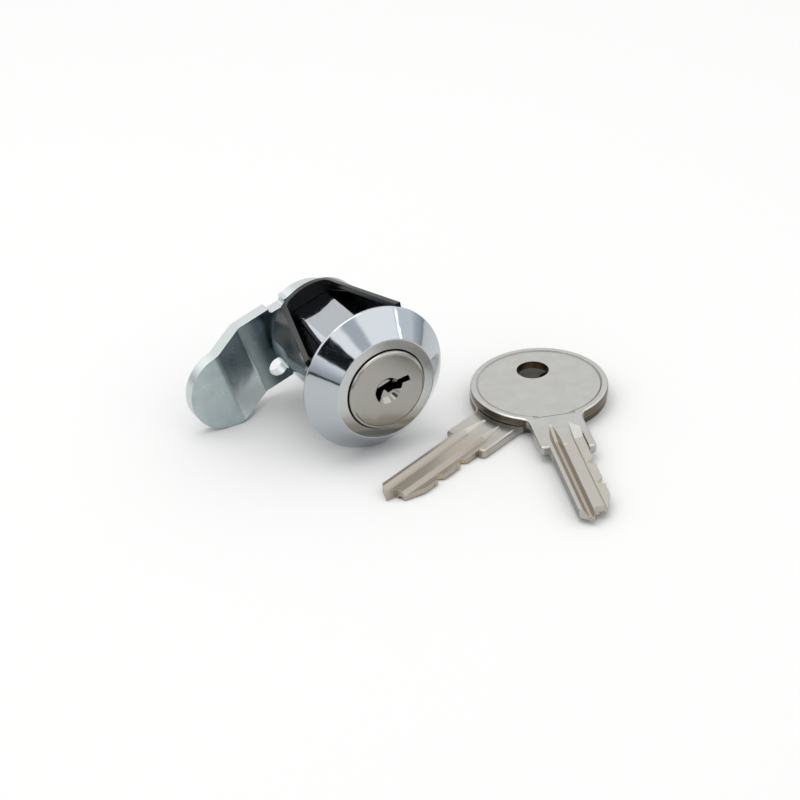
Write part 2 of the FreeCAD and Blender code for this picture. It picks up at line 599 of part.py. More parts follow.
def milled(section):
    """A cutter's path along the blade, from its section as across and height. At the bow it lifts out."""
    lift = section[0][1] - section[1][1]
    full = CUTTER_RUN_OUT - GROOVE_START
    start = Part.makePolygon([Vector(-GROOVE_START, a, h + lift) for a, h in section + section[:1]])
    ramp = Part.Face(start).extrude(Vector(CUTTER_RUN_OUT, 0, -lift))
    deep = Part.makePolygon([Vector(full, a, h) for a, h in section + section[:1]])
    return ramp.fuse(Part.Face(deep).extrude(Vector(BLADE_LENGTH - full, 0, 0)))


def place_key(key, x, y, turn, level, lean=0.0):
    """Lays a key on the table or on the other key. It leans about the edge of the bow that carries it."""
    placed = key.copy()
    placed.rotate(KEY_REST, Vector(0, 1, 0), lean)
    placed.rotate(Vector(0, 0, 0), Vector(0, 0, 1), turn)
    placed.translate(Vector(x, y, TABLE_Z + level))
    return placed


def roll(shape):
    """Rolls a piece of the lock about its axis to the way it lies on the table."""
    shape.rotate(Vector(0, 0, 0), AXIS, -LIE_ANGLE)
    return shape


def main():
    """Builds every piece, reports on it and writes its file."""
    pieces = {"housing": make_housing(), "plug": make_plug(), "stop_washer": make_stop_washer(),
              "cam": make_cam(), "lock_washer": make_lock_washer(), "cam_screw": make_cam_screw(),
              "fixing_clip": make_clip()}
    for number, (y, depth) in enumerate(zip(wafer_places(), CUT_DEPTHS), 1):
        pieces["wafer_%d" % number] = make_wafer(y, depth)
        pieces["wafer_spring_%d" % number] = make_wafer_spring(y)
    pieces = {name: roll(shape) for name, shape in pieces.items()}
    key = make_key()
    pieces["upper_key"] = place_key(key, UPPER_KEY_X, UPPER_KEY_Y, UPPER_KEY_TURN, KEY_THICK, UPPER_KEY_LEAN)
    pieces["lower_key"] = place_key(key, LOWER_KEY_X, LOWER_KEY_Y, LOWER_KEY_TURN, 0)
    os.makedirs("parts", exist_ok=True)
    for name, shape in pieces.items():
        solids = shape.Solids
        print("%-16s solids %d valid %s volume %.2f" % (name, len(solids), shape.isValid(), shape.Volume))
        body = solids[0] if len(solids) == 1 else Part.Compound(solids)
        body.exportStep("parts/%s.step" % name)
    print("lie angle %.2f degrees" % LIE_ANGLE)


main()
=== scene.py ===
# %% [markdown]
# A mailbox lock lies on its side with two keys in front of it.
# The lock is a chromed zinc casting with a turning plug, a cranked steel cam and a black spring clip.
# The CAD frame already holds every piece at its true size, so this lesson is about surfaces: what each
# one is made of, what that gives the eye, and how light has to fall on it.

# %% Load the fixed frame
import bpy
import math
import numpy as np
from mathutils import Matrix, Vector


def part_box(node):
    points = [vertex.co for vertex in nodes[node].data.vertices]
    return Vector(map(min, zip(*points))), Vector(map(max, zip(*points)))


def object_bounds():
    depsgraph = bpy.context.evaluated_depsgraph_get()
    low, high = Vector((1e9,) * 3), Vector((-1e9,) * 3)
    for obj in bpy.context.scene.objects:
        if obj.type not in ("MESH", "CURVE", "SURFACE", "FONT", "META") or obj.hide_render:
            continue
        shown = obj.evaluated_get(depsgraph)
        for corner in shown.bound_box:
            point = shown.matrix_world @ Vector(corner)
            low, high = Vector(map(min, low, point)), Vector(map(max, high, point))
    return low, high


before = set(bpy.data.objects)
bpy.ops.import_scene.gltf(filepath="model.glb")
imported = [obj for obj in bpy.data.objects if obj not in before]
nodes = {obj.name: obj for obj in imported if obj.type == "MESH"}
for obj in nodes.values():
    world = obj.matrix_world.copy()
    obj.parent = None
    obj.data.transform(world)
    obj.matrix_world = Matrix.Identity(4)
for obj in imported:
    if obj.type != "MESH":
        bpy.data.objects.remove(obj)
cad_box = [list(corner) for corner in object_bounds()]
MM = 0.001
print("CAD nodes:", len(nodes), "box in mm:", [[round(v / MM, 1) for v in corner] for corner in cad_box])

# %% [markdown]
# A product photograph of a small thing is taken from far away with a long lens, so the lock hardly
# tapers with distance. The camera's three angles and its distance were found by matching edges of
# the lock, whose sizes are known, with the same edges in the photograph. The pixel on which the
# lock's origin falls is known too, so the eye is moved sideways until it does, and the lens keeps
# no shift.

# %% The camera
CAMERA_AZIMUTH = -27.933
CAMERA_ELEVATION = 30.685
CAMERA_ROLL = -2.785
CAMERA_DISTANCE = 500 * MM
PIXELS = 800
FOCAL_PIXELS = 3192.5
ORIGIN_PIXEL = (373.088, 377.503)
SENSOR = 36.0
AIM_OFFSET = Vector((0, -0.4 * MM, 0))

azimuth, elevation, roll = (math.radians(a) for a in (CAMERA_AZIMUTH, CAMERA_ELEVATION, CAMERA_ROLL))
forward = -Vector((math.sin(azimuth) * math.cos(elevation), -math.cos(azimuth) * math.cos(elevation),
                   math.sin(elevation)))
level = Vector((math.cos(azimuth), math.sin(azimuth), 0))
upright = level.cross(forward)
right = level * math.cos(roll) + upright * math.sin(roll)
up = upright * math.cos(roll) - level * math.sin(roll)
aside = (ORIGIN_PIXEL[0] - PIXELS / 2) / FOCAL_PIXELS
above = (PIXELS / 2 - ORIGIN_PIXEL[1]) / FOCAL_PIXELS
eye = AIM_OFFSET - CAMERA_DISTANCE * (forward + aside * right + above * up)

camera_data = bpy.data.cameras.new("camera")
camera_data.sensor_width = SENSOR
camera_data.lens = SENSOR * FOCAL_PIXELS / PIXELS
camera = bpy.data.objects.new("camera", camera_data)
camera.matrix_world = Matrix((right, up, -forward)).transposed().to_4x4()
camera.location = eye
bpy.context.scene.collection.objects.link(camera)
bpy.context.scene.camera = camera
print("lens %.1f mm, eye in mm %s" % (camera_data.lens, [round(v / MM) for v in eye]))

# %% [markdown]
# Colours are picked on a screen as hex values, which hold the eye's steps and not amounts of light.
# Blender adds and multiplies amounts of light, so each hex value is turned to linear once, here.
# A material is then a few nodes joined by links, and one small function adds a node of any kind.

# %% Two helpers for every material
SMOOTH = {"interpolation_type": "SMOOTHSTEP"}


def linear(hexed):
    """Turns an sRGB hex value to linear: below 0.04045 divide by 12.92, above it the 2.4 power curve."""
    parts = np.array([int(hexed[k:k + 2], 16) for k in (1, 3, 5)]) / 255
    low, high = parts / 12.92, ((parts + 0.055) / 1.055) ** 2.4
    return (*np.where(parts <= 0.04045, low, high).tolist(), 1.0)


def add(tree, kind, settings=None, **inputs):
    """Adds a node. Settings are its own properties. An input is a value, or a socket to link from.
    An input named i0, i1 and so on is taken by its number."""
    made = tree.nodes.new(kind)
    for name, value in (settings or {}).items():
        setattr(made, name, value)
    for name, value in inputs.items():
        numbered = name[0] == "i" and name[1:].isdigit()
        socket = made.inputs[int(name[1:]) if numbered else name.replace("_", " ")]
        if isinstance(value, bpy.types.NodeSocket):
            tree.links.new(value, socket)
        else:
            socket.default_value = value
    return made


print("white is", linear("#FFFFFF"), "and mid grey is", round(linear("#808080")[0], 3))

# %% [markdown]
# Most surfaces are several colours over each other, like coats of paint through a stencil. Each
# stencil is a mask, 1 where the coat shows and 0 where it doesn't. A mask is worked out from places in
# millimetres: a point is inside a zone when each of its measures lies within a span.

# %% Coats, masks and zones
def layered(tree, under, *coats):
    """Lays coats over a colour. Each is a mask from 0 to 1 and a hex value, and the last is on top."""
    for mask, hexed in coats:
        mixed = add(tree, "ShaderNodeMix", {"data_type": "RGBA"}, i0=mask, i6=under, i7=linear(hexed))
        under = mixed.outputs[2]
    return under


def where_all(tree, mask, *others):
    """Multiplies masks, so that the result is 1 only where each of them is."""
    for other in others:
        mask = add(tree, "ShaderNodeMath", {"operation": "MULTIPLY"}, i0=mask, i1=other).outputs[0]
    return mask


def between(tree, value, low, high, soft):
    """1 where the value lies between low and high. Each end is a smooth ramp, from soft before it to
    soft past it."""
    rise = add(tree, "ShaderNodeMapRange", SMOOTH, Value=value, From_Min=low - soft, From_Max=low + soft)
    fall = add(tree, "ShaderNodeMapRange", SMOOTH, Value=value, From_Min=high + soft, From_Max=high - soft)
    return where_all(tree, rise.outputs[0], fall.outputs[0])


def zone(tree, *spans):
    """1 where every span holds. A span is a value with the low end, high end and softness of between."""
    return where_all(tree, *(between(tree, value, *limits) for value, limits in spans))


print("a span is its low end, its high end and its softness, in mm")

# %% [markdown]
# The lock lies on a plain pale sheet under a white tent, as small chromed things are photographed. The
# sheet isn't part of the lock. Its height is that of the lowest point of the pieces, which rest on it.

# %% The table
TABLE_SIZE = 1500 * MM
TABLE_COLOUR = "#D4D4D3"

table_level = min(cad_box[0][2], cad_box[1][2])
corners = np.array([(-1, -1, 0), (1, -1, 0), (1, 1, 0), (-1, 1, 0)]) * TABLE_SIZE / 2 + (0, 0, table_level)
table_mesh = bpy.data.meshes.new("table")
table_mesh.from_pydata(corners.tolist(), [], [(0, 1, 2, 3)])
table = bpy.data.objects.new("table", table_mesh)
bpy.context.scene.collection.objects.link(table)
board = bpy.data.materials.new("matt_white_board")
board.use_nodes = True
board_shader = board.node_tree.nodes["Principled BSDF"]
board_shader.inputs["Base Color"].default_value = linear(TABLE_COLOUR)
board_shader.inputs["Roughness"].default_value = 0.9
board_shader.inputs["Specular IOR Level"].default_value = 0.1
table_mesh.materials.append(board)
print("table at %.1f mm" % (table_level / MM))

# %% [markdown]
# A mirror shows only what stands round it, so the tent matters more than the lamps. It is white
# above and pale blue-grey near the table. At the horizon it ends in a dark band, full on the left and
# faint on the right, because a chromed cone needs a dark edge to be seen against white.
# Four cards are round patches of the tent: a nearly black one in front on the left, and pale grey
# ones high in front, on the right and behind.

# %% The tent and its cards
TENT_TOP = "#FFFFFF"
TENT_LOW = "#A3A8AE"
TENT_EDGE = "#33373B"
TENT_STRENGTH = 1.5
TENT_RISE = (0.05, 0.5)
TENT_BAND = (0.05, 0.02)
BAND_FAINT, BAND_FULL, FAINT_SHARE = 0.3, -0.3, 0.25
CARDS = [((-0.63, -0.565, 0.53), 0.973, 0.985, "#101418"), ((-0.09, -0.54, 0.84), 0.975, 0.995, "#B9BDC2"),
         ((0.89, -0.20, 0.42), 0.970, 0.992, "#D3D8DD"), ((0.40, 0.76, 0.51), 0.80, 0.93, "#D8D8D7")]

world = bpy.data.worlds.new("white_tent")
world.use_nodes = True
bpy.context.scene.world = world
tent = world.node_tree
tent.nodes.clear()
way = add(tent, "ShaderNodeTexCoord").outputs["Generated"]
way_parts = add(tent, "ShaderNodeSeparateXYZ", Vector=way).outputs
rise = add(tent, "ShaderNodeMapRange", SMOOTH, Value=way_parts["Z"],
           From_Min=TENT_RISE[0], From_Max=TENT_RISE[1]).outputs[0]
band = add(tent, "ShaderNodeMapRange", SMOOTH, Value=way_parts["Z"],
           From_Min=TENT_BAND[0], From_Max=TENT_BAND[1]).outputs[0]
left = add(tent, "ShaderNodeMapRange", SMOOTH, Value=way_parts["X"],
           From_Min=BAND_FAINT, From_Max=BAND_FULL, To_Min=FAINT_SHARE).outputs[0]
sky = layered(tent, linear(TENT_LOW), (rise, TENT_TOP), (where_all(tent, band, left), TENT_EDGE))
for towards, edge, full, card in CARDS:
    facing = add(tent, "ShaderNodeVectorMath", {"operation": "DOT_PRODUCT"}, i0=way,
                 i1=Vector(towards).normalized()).outputs["Value"]
    there = add(tent, "ShaderNodeMapRange", SMOOTH, Value=facing, From_Min=edge, From_Max=full).outputs[0]
    sky = layered(tent, sky, (there, card))
glow = add(tent, "ShaderNodeBackground", Color=sky, Strength=TENT_STRENGTH).outputs[0]
add(tent, "ShaderNodeOutputWorld", Surface=glow)
print("tent with", len(CARDS), "cards")

# %% [markdown]
# A wide disk above the lock draws the soft shadow under the pieces. A small weak one on the right is
# only a little brighter than the tent, and gives the chrome one more spot to mirror. The Standard view
# shows a white of 1 as white, as the photograph's white ground asks for.

# %% Lamps
LAMPS = {"lamp_above": {"place": (-60, 40, 420), "width": 320, "watts": 0.45},
         "lamp_strip": {"place": (386, -121, 259), "width": 34, "watts": 0.006}}
for name, facts in LAMPS.items():
    lamp = bpy.data.lights.new(name, "AREA")
    lamp.shape = "DISK"
    lamp.size = facts["width"] * MM
    lamp.energy = facts["watts"]
    lit = bpy.data.objects.new(name, lamp)
    lit.location = Vector(facts["place"]) * MM
    lit.rotation_euler = (-Vector(facts["place"])).to_track_quat("-Z", "Y").to_euler()
    bpy.context.scene.collection.objects.link(lit)
bpy.context.scene.view_settings.view_transform = "Standard"
print(len(LAMPS), "lamps, widths in mm:", [facts["width"] for facts in LAMPS.values()])

# %% [markdown]
# Every finish on the lock starts the same way: a Principled shader with its colour, how metallic it is
# and how rough, all set on the shader itself. Real edges are never sharp. A tumbled or plated edge has
# a radius of about a tenth of a millimetre, and it is this little round that catches the light. The
# Bevel node gives the shader a normal that turns round each edge, and the amount by which it leaves
# the flat normal tells where an edge is, so that wear can be put there.

# %% How each finish starts and ends
def finish(name, hexed, metallic, roughness, edge_mm=0.1):
    """Makes a material whose edges look rounded. Returns it with its tree, its shader, the place in
    millimetres and the rounded normal."""
    made = bpy.data.materials.new(name)
    made.use_nodes = True
    tree = made.node_tree
    shader = tree.nodes["Principled BSDF"]
    shader.inputs["Base Color"].default_value = linear(hexed)
    shader.inputs["Metallic"].default_value = metallic
    shader.inputs["Roughness"].default_value = roughness
    metres = add(tree, "ShaderNodeTexCoord").outputs["Object"]
    place = add(tree, "ShaderNodeVectorMath", {"operation": "SCALE"}, i0=metres, Scale=1 / MM).outputs[0]
    rounded = add(tree, "ShaderNodeBevel", {"samples": 6}, Radius=edge_mm * MM).outputs[0]
    return made, tree, shader, place, rounded


def finished(tree, shader, rounded, relief=None, depth_mm=0.0, **worked_out):
    """Links what a finish worked out to its shader. Relief is a height, whose depth is how many
    millimetres a height of 1 stands for. It tilts the rounded normal."""
    if relief is not None:
        rounded = add(tree, "ShaderNodeBump", Distance=depth_mm * MM, Strength=1.0, Height=relief,
                      Normal=rounded).outputs[0]
    tree.links.new(rounded, shader.inputs["Normal"])
    for name, socket in worked_out.items():
        tree.links.new(socket, shader.inputs[name.replace("_", " ")])


def edge_mask(tree, rounded):
    """0 on a flat and 1 where the rounded normal has left the true one, by the cosine between them."""
    true = add(tree, "ShaderNodeNewGeometry").outputs["Normal"]
    alike = add(tree, "ShaderNodeVectorMath", {"operation": "DOT_PRODUCT"}, i0=rounded, i1=true)
    return add(tree, "ShaderNodeMapRange", Value=alike.outputs["Value"],
               From_Min=0.995, From_Max=0.90).outputs[0]


def facing_part(tree, axis):
    """How far the true normal points along X, Y or Z, from -1 to 1."""
    true = add(tree, "ShaderNodeNewGeometry").outputs["Normal"]
    return add(tree, "ShaderNodeSeparateXYZ", Vector=true).outputs[axis]


print("a finish takes its edge radius in mm, 0.1 by default")

# %% [markdown]
# Handling leaves fine scratches. Real ones are some micrometres wide, too fine to show here, so they
# are drawn a few hundredths of a millimetre wide. They are noise that is stretched along one way, of
# which only the highest share stays. Cast and turned pieces share one more measure: how far a point
# is from the lock's axis, which runs along Y through the origin.

# %% Scratches, and places on the lock
def hairlines(tree, place, width_mm, length_mm, turn, share):
    """Noise with cells of one length along a line and of one width across it, cut off below a share."""
    stretched = add(tree, "ShaderNodeMapping", Vector=place, Rotation=tuple(math.radians(a) for a in turn),
                    Scale=(1 / length_mm, 1 / width_mm, 1 / width_mm)).outputs[0]
    grain = add(tree, "ShaderNodeTexNoise", Vector=stretched, Scale=1.0, Detail=1.0).outputs[0]
    return add(tree, "ShaderNodeMapRange", Value=grain, From_Min=1 - share, From_Max=1.05 - share).outputs[0]


def lock_place(tree, place):
    """Returns the distance from the lock's axis, the root of X squared plus Z squared, and the place
    along it."""
    parts = add(tree, "ShaderNodeSeparateXYZ", Vector=place).outputs
    around = add(tree, "ShaderNodeCombineXYZ", X=parts["X"], Z=parts["Z"]).outputs[0]
    from_axis = add(tree, "ShaderNodeVectorMath", {"operation": "LENGTH"}, i0=around).outputs["Value"]
    return from_axis, parts["Y"]


FLANGE_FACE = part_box("housing")[0].y / MM
PLUG_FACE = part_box("plug")[0].y / MM
print("flange face at y = %.2f mm, plug face at y = %.2f mm" % (FLANGE_FACE, PLUG_FACE))

# %% [markdown]
# The flange and barrel are a zinc die casting that was polished and plated with copper, nickel and
# chrome. Chrome is a nearly neutral mirror with a touch of blue. Polishing leaves slow waves about
# three millimetres long, and handling leaves scratches. The flange's flat front ring is a little
# rougher than its cone, and it is painted paler and less blue, a painted reflection of what stands
# before it. The wall of the hole round the plug is painted dark, as painted shade, because little
# light comes back out of the narrow gap.

# %% Chromed zinc
CHROME = "#B2B7BC"
CHROME_FLAT = "#BDBFBE"
GAP_SHADE = "#141414"
HOLE_WALL_R = 6.87
FRONT_RING = FLANGE_FACE + 0.06
WAVES_PER_MM = 0.35
SCRATCH_HEIGHT = -0.05
RING_ROUGHER = 0.11
chrome, tree, shader, place, rounded = finish("chromed_zinc", CHROME, metallic=1.0, roughness=0.07,
                                              edge_mm=0.12)
waves = add(tree, "ShaderNodeTexNoise", Vector=place, Scale=WAVES_PER_MM, Detail=1.0).outputs[0]
lines = hairlines(tree, place, width_mm=0.05, length_mm=3.0, turn=(0, 35, 0), share=0.32)
relief = add(tree, "ShaderNodeMath", {"operation": "MULTIPLY_ADD"}, i0=lines, i1=SCRATCH_HEIGHT, i2=waves)
from_axis, depth = lock_place(tree, place)
# The front ring's paler, less blue colour is a painted reflection.
in_face = add(tree, "ShaderNodeMath", {"operation": "LESS_THAN"}, i0=depth, i1=FRONT_RING).outputs[0]
# The hole wall round the plug is painted dark: painted shade of the narrow gap.
in_hole = add(tree, "ShaderNodeMath", {"operation": "LESS_THAN"}, i0=from_axis, i1=HOLE_WALL_R).outputs[0]
colour = layered(tree, linear(CHROME), (in_face, CHROME_FLAT), (in_hole, GAP_SHADE))
rough = add(tree, "ShaderNodeMapRange", Value=lines, To_Min=0.06, To_Max=0.16).outputs[0]
rough = add(tree, "ShaderNodeMath", {"operation": "MULTIPLY_ADD"}, i0=in_face, i1=RING_ROUGHER, i2=rough)
finished(tree, shader, rounded, relief.outputs[0], depth_mm=0.03, Base_Color=colour,
         Roughness=rough.outputs[0])
print(chrome.name, "colour", CHROME)

# %% [markdown]
# The plug turns with the key, so its face is rubbed and carries fine scratches in two directions. It is
# plated with bright nickel, which is a little warmer than chrome. Inside the keyway the colour is
# painted darker and browner with depth, as painted shade of the deep slot. The head's side is painted
# dark where it stands in the gap, as painted shade.

# %% Nickel-plated zinc
NICKEL = "#A19F99"
SLOT_SHADE = "#4A3526"
SLOT_DARKENS = (PLUG_FACE + 0.9, PLUG_FACE + 1.6)
HEAD_SIDE_R = 6.63
IN_GAP = PLUG_FACE + 0.75
plug_finish, tree, shader, place, rounded = finish("nickel_plated_zinc", NICKEL, metallic=1.0, roughness=0.14,
                                                   edge_mm=0.12)
one_way = hairlines(tree, place, width_mm=0.06, length_mm=2.0, turn=(0, 25, 0), share=0.36)
other_way = hairlines(tree, place, width_mm=0.06, length_mm=2.5, turn=(0, -50, 0), share=0.36)
lines = add(tree, "ShaderNodeMath", {"operation": "MAXIMUM"}, i0=one_way, i1=other_way).outputs[0]
from_axis, depth = lock_place(tree, place)
# The keyway is painted darker and browner with depth: painted shade of the deep slot.
in_slot = add(tree, "ShaderNodeMapRange", Value=depth, From_Min=SLOT_DARKENS[0], From_Max=SLOT_DARKENS[1])
# The head's side in the gap is painted dark: painted shade.
side = add(tree, "ShaderNodeMath", {"operation": "GREATER_THAN"}, i0=from_axis, i1=HEAD_SIDE_R).outputs[0]
low = add(tree, "ShaderNodeMath", {"operation": "GREATER_THAN"}, i0=depth, i1=IN_GAP).outputs[0]
colour = layered(tree, linear(NICKEL), (in_slot.outputs[0], SLOT_SHADE),
                 (where_all(tree, side, low), GAP_SHADE))
rough = add(tree, "ShaderNodeMapRange", Value=lines, To_Min=0.15, To_Max=0.23).outputs[0]
relief = add(tree, "ShaderNodeMath", {"operation": "MULTIPLY"}, i0=lines, i1=-1.0).outputs[0]
finished(tree, shader, rounded, relief, depth_mm=0.0008, Base_Color=colour, Roughness=rough)
print(plug_finish.name, "slot darkens from y = %.1f mm" % SLOT_DARKENS[0])

# %% [markdown]
# The cam is stamped from steel strip and plated with zinc, then dipped in a blue passivate. That gives
# a satin blue-grey with cloudy patches a few millimetres wide. The measures below are the cam's own:
# along its arm from the lock's axis, and across it. The lock lies rolled on the table, so a Mapping
# node turns the place back by that roll.

# %% Places on the cam
LIE_ANGLE = 17.7
CAM_SLOPE = (-17.2, -11.6, 0.35)
CAM_CREASE = (-11.75, -11.45, 0.12)
CAM_HEAD = (-9.6, 8.0, 1.2)
REFLECTION_LEAN = 0.34
REFLECTION_BLOTCH = 4.0
REFLECTION_EDGE = (-6.0, -2.6)
print("the crank's slope spans %.1f to %.1f mm from the axis" % (-CAM_SLOPE[1], -CAM_SLOPE[0]))

# %% [markdown]
# The slope of the crank is painted paler than the rest, as painted light. Its upper part is painted
# greyer, up to a slanting, blotched edge, as a painted dark reflection, and the crease at its inner end
# carries a painted highlight. The front of the head is painted darker, a painted dark reflection of the
# clip and barrel that stand close before it. The strip's cut edges are rubbed bright when the parts
# tumble against each other. They are the surfaces that turn away from the front, and the rounded edges.

# %% Blue-passivated steel
CAM_LIGHT = "#BCC9C9"
CAM_DARK = "#ADBABC"
SLOPE_PAINTED_LIGHT = "#DCE6E8"
BEND_DARK_REFLECTION = "#848F94"
HEAD_DARK_REFLECTION = "#607076"
CREASE_HIGHLIGHT = "#DDE6E6"
EDGE_BRIGHT = "#C6CDCD"
CUT_EDGE_TILT = 0.4
cam_finish, tree, shader, place, rounded = finish("cam_steel", CAM_LIGHT, metallic=1.0, roughness=0.36,
                                                  edge_mm=0.14)
clouds = add(tree, "ShaderNodeTexNoise", Vector=place, Scale=0.42, Detail=5.0, Roughness=0.62).outputs[0]
patches = add(tree, "ShaderNodeMapRange", Value=clouds, From_Min=0.35, From_Max=0.68).outputs[0]
own = add(tree, "ShaderNodeMapping", Vector=place, Rotation=(0, math.radians(LIE_ANGLE), 0)).outputs[0]
own = add(tree, "ShaderNodeSeparateXYZ", Vector=own).outputs
along = own["X"]
blotch = add(tree, "ShaderNodeTexNoise", Vector=place, Scale=0.3, Detail=3.0).outputs[0]
# Painted dark reflection on the slope's upper part, up to a slanting, blotched edge.
slant = add(tree, "ShaderNodeMath", {"operation": "MULTIPLY_ADD"}, i0=along, i1=REFLECTION_LEAN, i2=own["Z"])
wander = add(tree, "ShaderNodeMath", {"operation": "MULTIPLY_ADD"}, i0=blotch, i1=REFLECTION_BLOTCH,
             i2=slant.outputs[0])
painted_dark_reflection = add(tree, "ShaderNodeMapRange", SMOOTH, Value=wander.outputs[0],
              From_Min=REFLECTION_EDGE[0], From_Max=REFLECTION_EDGE[1]).outputs[0]
# The slope's paler colour is painted light.
slope = zone(tree, (along, CAM_SLOPE))
turned = facing_part(tree, "Y")
# The head's darker front is a painted dark reflection of the clip and barrel before it.
front = add(tree, "ShaderNodeMapRange", Value=turned, From_Min=0.0, From_Max=-0.5).outputs[0]
turn_size = add(tree, "ShaderNodeMath", {"operation": "ABSOLUTE"}, i0=turned).outputs[0]
sheared = add(tree, "ShaderNodeMath", {"operation": "LESS_THAN"}, i0=turn_size, i1=CUT_EDGE_TILT).outputs[0]
rubbed = add(tree, "ShaderNodeMath", {"operation": "MAXIMUM"}, i0=sheared, i1=edge_mask(tree, rounded))
# The crease's bright line is a painted highlight.
colour = layered(tree, linear(CAM_DARK), (patches, CAM_LIGHT), (slope, SLOPE_PAINTED_LIGHT),
                 (where_all(tree, slope, painted_dark_reflection), BEND_DARK_REFLECTION),
                 (where_all(tree, zone(tree, (along, CAM_HEAD)), front), HEAD_DARK_REFLECTION),
                 (zone(tree, (along, CAM_CREASE)), CREASE_HIGHLIGHT), (rubbed.outputs[0], EDGE_BRIGHT))
rough = add(tree, "ShaderNodeMapRange", Value=patches, To_Min=0.33, To_Max=0.26).outputs[0]
grain = add(tree, "ShaderNodeTexNoise", Vector=place, Scale=1.6, Detail=1.0).outputs[0]
finished(tree, shader, rounded, grain, depth_mm=0.003, Base_Color=colour, Roughness=rough)
print(cam_finish.name, "from", CAM_DARK, "to", CAM_LIGHT)

# %% [markdown]
# Stop washer, lock washer and screw are small steel pieces with the ordinary bright zinc plate. They
# are duller than chrome, and a faint bluish grey, with cloudy patches about a millimetre wide.

# %% Zinc-plated steel
ZINC = "#C2C7CC"
zinc_finish, tree, shader, place, rounded = finish("zinc_plated_steel", ZINC, metallic=1.0, roughness=0.3)
clouds = add(tree, "ShaderNodeTexNoise", Vector=place, Scale=1.2, Detail=3.0).outputs[0]
rough = add(tree, "ShaderNodeMapRange", Value=clouds, To_Min=0.2, To_Max=0.42).outputs[0]
finished(tree, shader, rounded, clouds, depth_mm=0.01, Roughness=rough)
print(zinc_finish.name, ZINC)

# %% [markdown]
# The clip is spring steel with a black lacquer. Lacquer is not a metal: it is dark all through and
# shines only at its surface. The surfaces that face up, sideways or back shine. Those that face the
# flange are duller in the photograph, so they are rougher and less shiny here. Where the lacquer is
# thin, on the edges, it reads a little greyer. Its orange-peel waves are half a millimetre wide.

# %% Black lacquered spring steel
LACQUER = "#141516"
LACQUER_EDGE = "#1D1D1E"
FACES_FLANGE, FACES_AWAY = -0.75, -0.25
clip_finish, tree, shader, place, rounded = finish("black_spring_steel", LACQUER, metallic=0.0, roughness=0.2,
                                                   edge_mm=0.2)
shader.inputs["IOR"].default_value = 1.5
turned = facing_part(tree, "Y")
shine = add(tree, "ShaderNodeMapRange", Value=turned, From_Min=FACES_FLANGE, From_Max=FACES_AWAY,
            To_Min=0.1, To_Max=0.42).outputs[0]
rough = add(tree, "ShaderNodeMapRange", Value=turned, From_Min=FACES_FLANGE, From_Max=FACES_AWAY,
            To_Min=0.5, To_Max=0.2).outputs[0]
colour = layered(tree, linear(LACQUER), (edge_mask(tree, rounded), LACQUER_EDGE))
orange_peel = add(tree, "ShaderNodeTexNoise", Vector=place, Scale=1.6, Detail=2.0).outputs[0]
finished(tree, shader, rounded, orange_peel, depth_mm=0.02, Base_Color=colour, Roughness=rough,
         Specular_IOR_Level=shine)
print(clip_finish.name, LACQUER)

# %% [markdown]
# The wafers are stamped brass, with strokes from the stamping, and the coils behind them are bright
# drawn wire. Both sit inside the plug and hardly show, but they get their own finishes all the same.

# %% Wafer brass and spring wire
BRASS = "#C9A557"
WIRE = "#B4B6B8"
STROKES_PER_MM = (9.0, 9.0, 0.8)
brass_finish, tree, shader, place, rounded = finish("wafer_brass", BRASS, metallic=1.0, roughness=0.3,
                                                    edge_mm=0.06)
strokes = add(tree, "ShaderNodeMapping", Vector=place, Scale=STROKES_PER_MM).outputs[0]
grain = add(tree, "ShaderNodeTexNoise", Vector=strokes, Scale=1.0, Detail=2.0).outputs[0]
finished(tree, shader, rounded, grain, depth_mm=0.004)
wire_finish, tree, shader, place, rounded = finish("spring_steel", WIRE, metallic=1.0, roughness=0.25,
                                                   edge_mm=0.03)
drawn = add(tree, "ShaderNodeTexNoise", Vector=place, Scale=14.0, Detail=2.0).outputs[0]
rough = add(tree, "ShaderNodeMapRange", Value=drawn, To_Min=0.2, To_Max=0.35).outputs[0]
finished(tree, shader, rounded, Roughness=rough)
print(brass_finish.name, BRASS, "and", wire_finish.name, WIRE)

# %% [markdown]
# A key starts as a brass blank that is stamped, milled along its blade, plated with nickel and cut
# last. So the look depends on the place along and across the key. Each key lies at its own angle, so
# a Mapping node turns Object coordinates back to the key's own: along the blade from the shoulder,
# across it, and up from its lower face. The sizes and the two places are those of the CAD.

# %% Each key's own coordinates
KEY_THICK = 1.6
BOW_R = 11.1
BOW_CENTRE = 20.05
HOLE_CENTRE = 24.4
HOLE_R = 2.6
PANEL_R = 10.1
PANEL_FOOT = 9.95
PANEL_FOOT_HALF = 3.4
KEY_PLACES = {"upper_key": (22.39, -22.46, -107.6, KEY_THICK, 1.5),
              "lower_key": (10.24, -9.95, -157.9, 0.0, 0.0)}


def key_coordinates(tree, place, name):
    """The key's own place. A point q of the key went to turn (rest + lean (q - rest)) + place, where rest
    is the edge of the bow that it leans on, and the Mapping node undoes that."""
    x, y, turn, level, lean = KEY_PLACES[name]
    rest = Vector((BOW_R - BOW_CENTRE, 0, 0))
    turned = Matrix.Rotation(math.radians(turn), 3, "Z")
    leaned = Matrix.Rotation(math.radians(lean), 3, "Y")
    origin = turned @ (rest - leaned @ rest) + Vector((x, y, table_level / MM + level))
    return add(tree, "ShaderNodeMapping", {"vector_type": "TEXTURE"}, Vector=place, Location=origin,
               Rotation=(0, math.radians(lean), math.radians(turn))).outputs[0]


def from_centre(tree, along, across, centre):
    """The distance from a point on the key's middle line that is this far behind the shoulder."""
    flat_place = add(tree, "ShaderNodeCombineXYZ", X=along, Y=across).outputs[0]
    return add(tree, "ShaderNodeVectorMath", {"operation": "DISTANCE"}, i0=flat_place,
               i1=(-centre, 0, 0)).outputs["Value"]


print("keys at", {name: row[:2] for name, row in KEY_PLACES.items()}, "mm")
